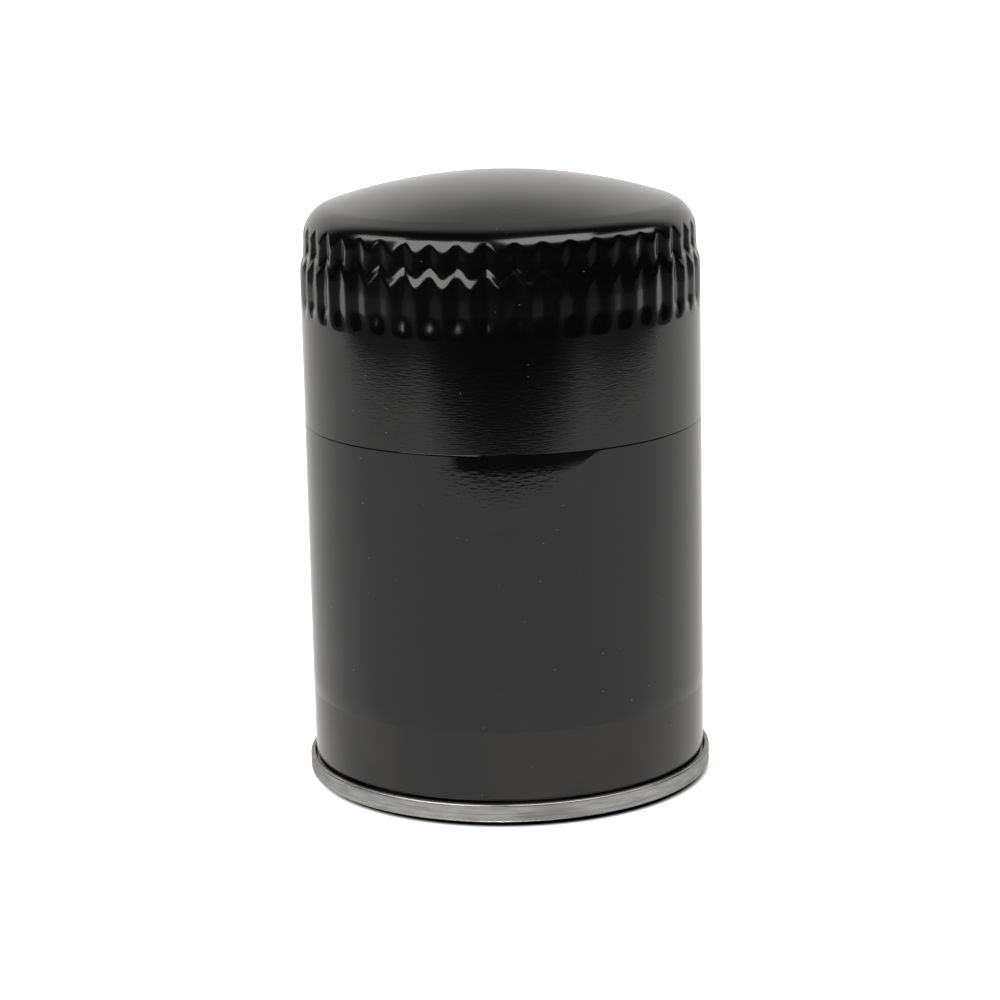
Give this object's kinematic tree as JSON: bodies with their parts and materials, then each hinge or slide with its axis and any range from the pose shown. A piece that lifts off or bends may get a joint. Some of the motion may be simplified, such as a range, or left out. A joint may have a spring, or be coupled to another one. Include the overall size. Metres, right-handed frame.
{
  "type": "spin-on oil filter",
  "caption": "Spin-on engine oil filter: fluted black steel can with a domed end, rolled seam, gasket, threaded plate, pleated element and relief valve.",
  "frame": {"origin": "centre of the gasket's lower face, on the filter's axis, where the filter stands", "axes": "+Z along the axis from the open end to the domed end; +X through the paper's seam clip; +Y completes the right-handed frame"},
  "size_m": [0.0962, 0.0962, 0.143],
  "materials": {
    "black_paint": "glossy black stoving enamel",
    "satin_film": "satin black film",
    "bare_steel": "bare drawn steel, lightly brushed",
    "plated_steel": "thin plating",
    "spring_steel": "dark drawn wire",
    "black_rubber": "satin nitrile rubber",
    "membrane_rubber": "soft matt nitrile rubber",
    "seam_compound": "cured bead",
    "potting": "cast plastisol",
    "filter_paper": "resin-cured paper"
  },
  "bodies": {
    "root": {"can": "black_paint", "wrap_label": "satin_film", "seaming_lid": "bare_steel", "seam_compound": "seam_compound", "tapping_plate": "bare_steel", "outer_gasket": "black_rubber", "anti_drain_membrane": "membrane_rubber", "element_spring": "spring_steel"},
    "element": {"bottom_end_cap": "plated_steel", "bottom_potting": "potting", "center_tube": "plated_steel", "pleated_media": "filter_paper", "media_seam_clip": "plated_steel", "top_potting": "potting", "top_end_cap": "plated_steel", "bypass_seat": "plated_steel", "bypass_cage": "plated_steel", "bypass_spring": "spring_steel"},
    "relief_valve": {"bypass_disc": "plated_steel", "bypass_seal": "black_rubber", "bypass_stem": "plated_steel"}
  },
  "joints": [
    {"name": "element_float", "type": "slide", "parent": "root", "child": "element", "axis": [0, 0, 1], "range_m": [0, 0.003], "stiffness_N_per_m": 6000, "deforming": ["element_spring"]},
    {"name": "bypass_valve", "type": "slide", "parent": "element", "child": "relief_valve", "axis": [0, 0, -1], "range_m": [0, 0.004], "stiffness_N_per_m": 800, "deforming": ["bypass_spring"]}
  ]
}
